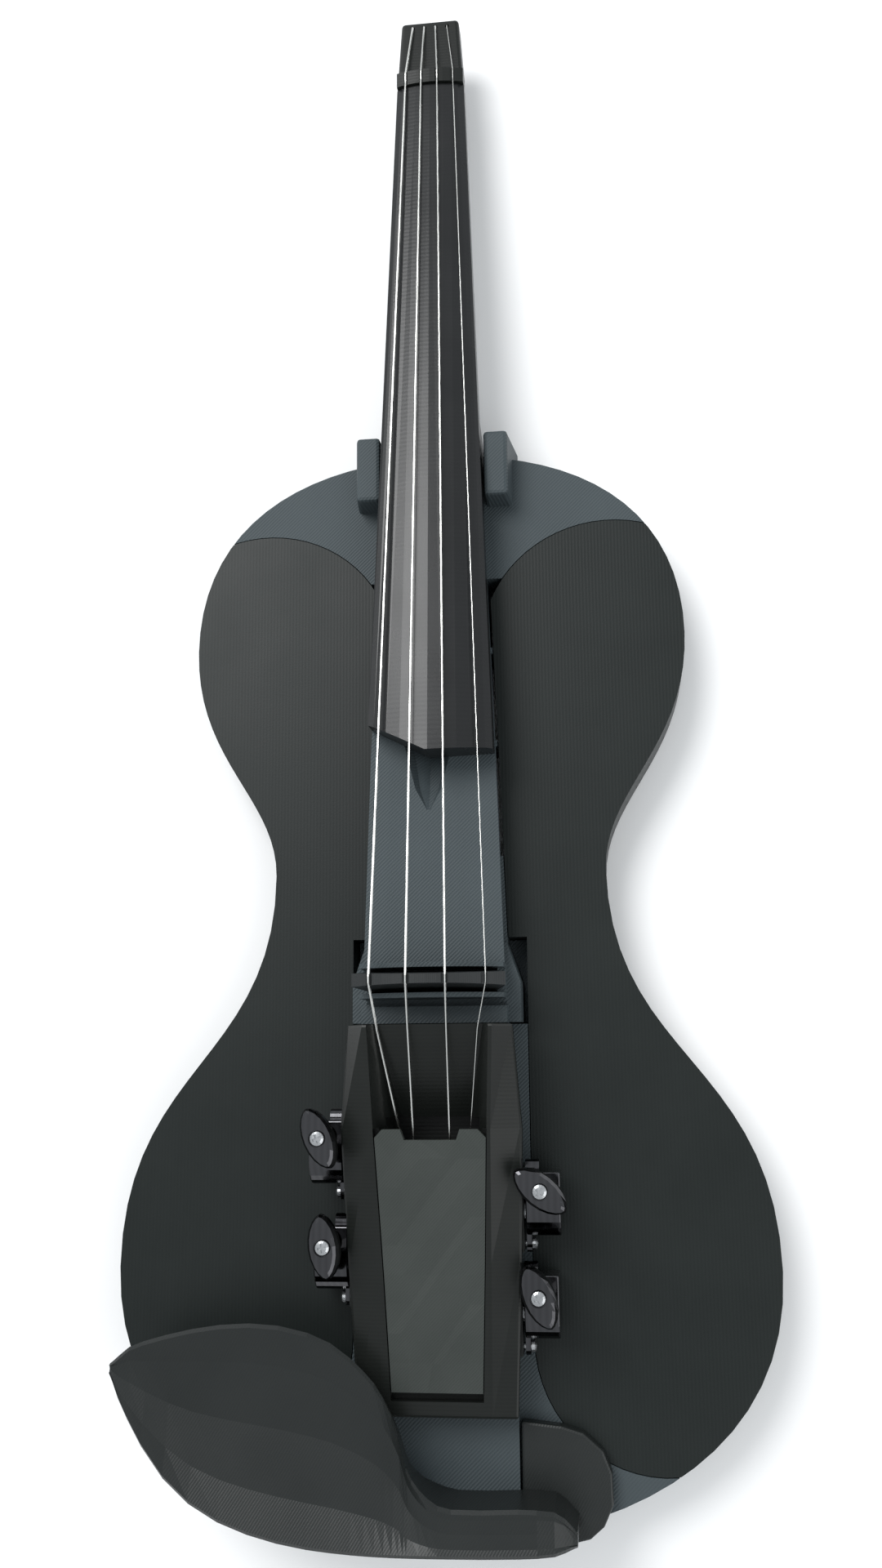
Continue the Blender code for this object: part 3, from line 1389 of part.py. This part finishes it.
def make_jack():
    tail, inner = JACK_Y
    jack = bar("output_jack", JACK_RADIUS, (0, tail, JACK_Z), (0, inner, JACK_Z))
    cut(jack, bar("plug_way", JACK_BORE, (0, tail - 1, JACK_Z), (0, inner - 2, JACK_Z)))
    finish(jack, "output_jack", "tuner_chrome", origin=(0, tail, JACK_Z))
    face = TAIL_Y - GAP
    nut = bar("jack_nut", JACK_NUT_RADIUS, (0, face - JACK_NUT_THICK, JACK_Z), (0, face, JACK_Z), 6)
    cut(nut, bar("thread", JACK_RADIUS + GAP, (0, face - 5, JACK_Z), (0, face + 1, JACK_Z)))
    finish(nut, "jack_nut", "tuner_chrome", origin=(0, face, JACK_Z))


clear_scene()
make_materials()
make_core()
make_wings()
make_neck()
make_fingerboard()
make_nut()
make_head()
make_bridge()
make_strings()
make_box()
make_lid()
make_machines()
make_chinrest()
make_jack()
make_back_screws()
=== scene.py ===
"""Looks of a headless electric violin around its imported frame."""
import math

import bpy
from mathutils import Matrix, Vector

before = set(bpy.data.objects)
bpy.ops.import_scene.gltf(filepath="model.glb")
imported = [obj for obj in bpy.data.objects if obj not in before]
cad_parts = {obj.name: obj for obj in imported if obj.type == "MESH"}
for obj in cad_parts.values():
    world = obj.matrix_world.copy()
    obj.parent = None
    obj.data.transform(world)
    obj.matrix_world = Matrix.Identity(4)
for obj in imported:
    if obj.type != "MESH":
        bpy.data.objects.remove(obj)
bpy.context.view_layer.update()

# Camera: the photograph's, looking down at the violin on its back
IMAGE = (1080, 1920)
CAMERA_PLACE = (0.0579, -0.024, 0.4916)
CAMERA_TURN = (-10.82, -6.76, 1.84)      # degrees about X, Y and Z
FOCAL_PIXELS = 1748
SENSOR = 36.0                            # millimetres along the longer side
CLIP = (0.01, 20)


def make_camera():
    data = bpy.data.cameras.new("camera")
    data.sensor_width = SENSOR
    data.lens = SENSOR * FOCAL_PIXELS / max(IMAGE)
    data.clip_start, data.clip_end = CLIP
    camera = bpy.data.objects.new("camera", data)
    bpy.context.scene.collection.objects.link(camera)
    x, y, z = (math.radians(angle) for angle in CAMERA_TURN)
    into_view = Matrix.Rotation(z, 3, "Z") @ Matrix.Rotation(y, 3, "Y") @ Matrix.Rotation(x, 3, "X")
    camera.matrix_world = Matrix.Translation(CAMERA_PLACE) @ into_view.transposed().to_4x4()
    bpy.context.scene.camera = camera


# Light and floor: metres and watts
FLOOR_Z = -0.0005
FLOOR_REACH = 3.0
FLOOR_COLOUR = (0.92, 0.92, 0.92, 1)
FLOOR_ROUGHNESS = 0.9
WORLD_COLOUR = (0.93, 0.97, 1.0, 1.0)
WORLD_LIGHT = 0.75
BACKDROP_LIGHT = 1.0
LIGHTS = (
    # name, place, diameter, power
    ("key", (-0.55, 0.75, 1.2), 0.9, 16.0),
    ("fill", (0.9, -0.5, 0.9), 1.2, 5.0),
)


def area_light(name, place, size, watts):
    """A round light aimed at the middle of the violin."""
    data = bpy.data.lights.new(name, "AREA")
    data.shape = "DISK"
    data.size = size
    data.energy = watts
    light = bpy.data.objects.new(name, data)
    light.location = place
    aim = -Vector(place)
    light.rotation_mode = "QUATERNION"
    light.rotation_quaternion = aim.to_track_quat("-Z", "Y")
    bpy.context.scene.collection.objects.link(light)


def make_world():
    """Soft light from all around, and plain white where the camera sees past the floor."""
    world = bpy.data.worlds.new("studio")
    world.use_nodes = True
    nodes = world.node_tree.nodes
    links = world.node_tree.links
    lit = nodes["Background"]
    lit.inputs["Color"].default_value = WORLD_COLOUR
    lit.inputs["Strength"].default_value = WORLD_LIGHT
    white = nodes.new("ShaderNodeBackground")
    white.inputs["Color"].default_value = (1, 1, 1, 1)
    white.inputs["Strength"].default_value = BACKDROP_LIGHT
    path = nodes.new("ShaderNodeLightPath")
    mix = nodes.new("ShaderNodeMixShader")
    links.new(path.outputs["Is Camera Ray"], mix.inputs["Fac"])
    links.new(lit.outputs[0], mix.inputs[1])
    links.new(white.outputs[0], mix.inputs[2])
    links.new(mix.outputs[0], nodes["World Output"].inputs["Surface"])
    bpy.context.scene.world = world


def make_floor():
    mesh = bpy.data.meshes.new("floor")
    signs = ((-1, -1), (1, -1), (1, 1), (-1, 1))
    corners = [(FLOOR_REACH * x, FLOOR_REACH * y, FLOOR_Z) for x, y in signs]
    mesh.from_pydata(corners, [], [(0, 1, 2, 3)])
    floor = bpy.data.objects.new("floor", mesh)
    bpy.context.scene.collection.objects.link(floor)
    paper = bpy.data.materials.new("paper")
    paper.use_nodes = True
    shader = paper.node_tree.nodes["Principled BSDF"]
    shader.inputs["Base Color"].default_value = FLOOR_COLOUR
    shader.inputs["Roughness"].default_value = FLOOR_ROUGHNESS
    mesh.materials.append(paper)


def make_stage():
    bpy.context.scene.view_settings.view_transform = "Standard"
    make_world()
    make_floor()
    for light in LIGHTS:
        area_light(*light)


# Materials: fine print lines, grain and slow mottling over each plastic or metal
LOOKS = {
    # name: dark colour, light colour, roughness, metallic, shine, print line spacing (m),
    # line angle (degrees), line depth, grain depth
    "core": ((0.034, 0.045, 0.050), (0.054, 0.068, 0.074), 0.55, 0.0, 0.25, 0.0009, 45, 0.30, 0.10),
    "wing": ((0.0060, 0.0085, 0.0080), (0.0110, 0.0145, 0.0138), 0.42, 0.0, 0.22, 0.0011, 0, 0.05, 0.08),
    "satin": ((0.0055, 0.0065, 0.0058), (0.0105, 0.0120, 0.0108), 0.34, 0.0, 0.25, 0.0012, 90, 0.04, 0.06),
    "lid": ((0.024, 0.029, 0.026), (0.044, 0.050, 0.046), 0.50, 0.0, 0.30, 0.0007, 45, 0.25, 0.08),
    "chin": ((0.0075, 0.0095, 0.0092), (0.0140, 0.0165, 0.0160), 0.36, 0.0, 0.35, 0.0008, 30, 0.08, 0.08),
    "bridge": ((0.010, 0.012, 0.012), (0.020, 0.022, 0.023), 0.36, 0.0, 0.35, 0.0006, 0, 0.12, 0.05),
    "board": ((0.0045, 0.0050, 0.0055), (0.0085, 0.0092, 0.0100), 0.28, 0.0, 0.40, 0.0016, 90, 0.03, 0.04),
    "string": ((0.50, 0.50, 0.48), (0.85, 0.85, 0.82), 0.25, 1.0, 0.5, 0.00022, 0, 0.10, 0.0),
    "black_chrome": ((0.045, 0.045, 0.048), (0.085, 0.085, 0.090), 0.12, 1.0, 0.5, 0.002, 0, 0.0, 0.015),
    "chrome": ((0.55, 0.56, 0.58), (0.72, 0.73, 0.75), 0.16, 1.0, 0.5, 0.002, 0, 0.0, 0.02),
    "steel": ((0.32, 0.33, 0.34), (0.52, 0.53, 0.54), 0.28, 1.0, 0.5, 0.0005, 0, 0.05, 0.04),
    "brass": ((0.55, 0.40, 0.17), (0.74, 0.57, 0.28), 0.28, 1.0, 0.5, 0.0005, 0, 0.04, 0.03),
    "strip": ((0.40, 0.34, 0.20), (0.60, 0.52, 0.34), 0.42, 0.5, 0.4, 0.0008, 0, 0.05, 0.05),
}
WAVE_UNIT = 0.314                        # metres between the bands of a wave texture of scale 1
LINE_TILT = 12                           # degrees that the print lines lean from upright
LINE_WAVER = 0.35
LINE_SHARE = 0.25                        # how much the lines tint, beside the mottling
LINE_HEIGHT = 0.0003
GRAIN_SCALE = 1600.0
GRAIN_DETAIL = 2
GRAIN_HEIGHT = 0.0002
MOTTLE_SCALE = 38.0
MOTTLE_DETAIL = 5
WEAR = 0.07                              # roughness more or less where the mottling is light or dark
LEAST_ROUGHNESS = 0.04


def make_look(name):
    dark, light, rough, metal, shine, spacing, angle, line_depth, grain_depth = LOOKS[name]
    look = bpy.data.materials.new("look_" + name)
    look.use_nodes = True
    nodes = look.node_tree.nodes
    links = look.node_tree.links
    shader = nodes["Principled BSDF"]
    place = nodes.new("ShaderNodeTexCoord")
    turn = nodes.new("ShaderNodeMapping")
    turn.inputs["Rotation"].default_value = (0, math.radians(LINE_TILT), math.radians(angle))
    links.new(place.outputs["Object"], turn.inputs["Vector"])

    lines = nodes.new("ShaderNodeTexWave")
    lines.bands_direction = "X"
    lines.inputs["Scale"].default_value = WAVE_UNIT / spacing
    lines.inputs["Distortion"].default_value = LINE_WAVER
    links.new(turn.outputs["Vector"], lines.inputs["Vector"])
    grain = nodes.new("ShaderNodeTexNoise")
    grain.inputs["Scale"].default_value = GRAIN_SCALE
    grain.inputs["Detail"].default_value = GRAIN_DETAIL
    links.new(place.outputs["Object"], grain.inputs["Vector"])
    mottle = nodes.new("ShaderNodeTexNoise")
    mottle.inputs["Scale"].default_value = MOTTLE_SCALE
    mottle.inputs["Detail"].default_value = MOTTLE_DETAIL
    links.new(place.outputs["Object"], mottle.inputs["Vector"])

    share = nodes.new("ShaderNodeMath")
    share.operation = "MULTIPLY_ADD"
    share.inputs[1].default_value = LINE_SHARE
    links.new(lines.outputs["Fac"], share.inputs[0])
    links.new(mottle.outputs["Fac"], share.inputs[2])
    tint = nodes.new("ShaderNodeMix")
    tint.data_type = "RGBA"
    tint.inputs["A"].default_value = (*dark, 1)
    tint.inputs["B"].default_value = (*light, 1)
    links.new(share.outputs[0], tint.inputs["Factor"])
    links.new(tint.outputs["Result"], shader.inputs["Base Color"])

    wear = nodes.new("ShaderNodeMapRange")
    wear.inputs["To Min"].default_value = max(rough - WEAR, LEAST_ROUGHNESS)
    wear.inputs["To Max"].default_value = rough + WEAR
    links.new(mottle.outputs["Fac"], wear.inputs["Value"])
    links.new(wear.outputs["Result"], shader.inputs["Roughness"])
    shader.inputs["Metallic"].default_value = metal
    shader.inputs["Specular IOR Level"].default_value = shine

    ridges = nodes.new("ShaderNodeBump")
    ridges.inputs["Strength"].default_value = line_depth
    ridges.inputs["Distance"].default_value = LINE_HEIGHT
    links.new(lines.outputs["Fac"], ridges.inputs["Height"])
    skin = nodes.new("ShaderNodeBump")
    skin.inputs["Strength"].default_value = grain_depth
    skin.inputs["Distance"].default_value = GRAIN_HEIGHT
    links.new(grain.outputs["Fac"], skin.inputs["Height"])
    links.new(ridges.outputs["Normal"], skin.inputs["Normal"])
    links.new(skin.outputs["Normal"], shader.inputs["Normal"])
    return look


# The first line whose start matches a node's name gives its look
NODE_LOOKS = (
    ("core_body", "core"),
    ("left_wing", "wing"),
    ("right_wing", "wing"),
    ("box_lid", "lid"),
    ("chinrest_screw", "steel"),
    ("chinrest", "chin"),
    ("bridge", "bridge"),
    ("fingerboard", "board"),
    ("string_", "string"),
    ("ball_end", "brass"),
    ("housing_", "black_chrome"),
    ("button_screw", "steel"),
    ("button_", "black_chrome"),
    ("post_", "chrome"),
    ("bushing_", "chrome"),
    ("worm_", "steel"),
    ("mounting_screw", "steel"),
    ("neck_bolt", "steel"),
    ("box_screw", "steel"),
    ("output_jack", "chrome"),
    ("jack_nut", "chrome"),
    ("piezo_strip", "strip"),
    ("", "satin"),
)


def dress_nodes():
    looks = {name: make_look(name) for name in LOOKS}
    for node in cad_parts:
        kind = next(look for start, look in NODE_LOOKS if node.startswith(start))
        mesh = bpy.data.objects[node].data
        for slot in range(len(mesh.materials)):
            mesh.materials[slot] = looks[kind]
        if not mesh.materials:
            mesh.materials.append(looks[kind])


make_camera()
make_stage()
dress_nodes()
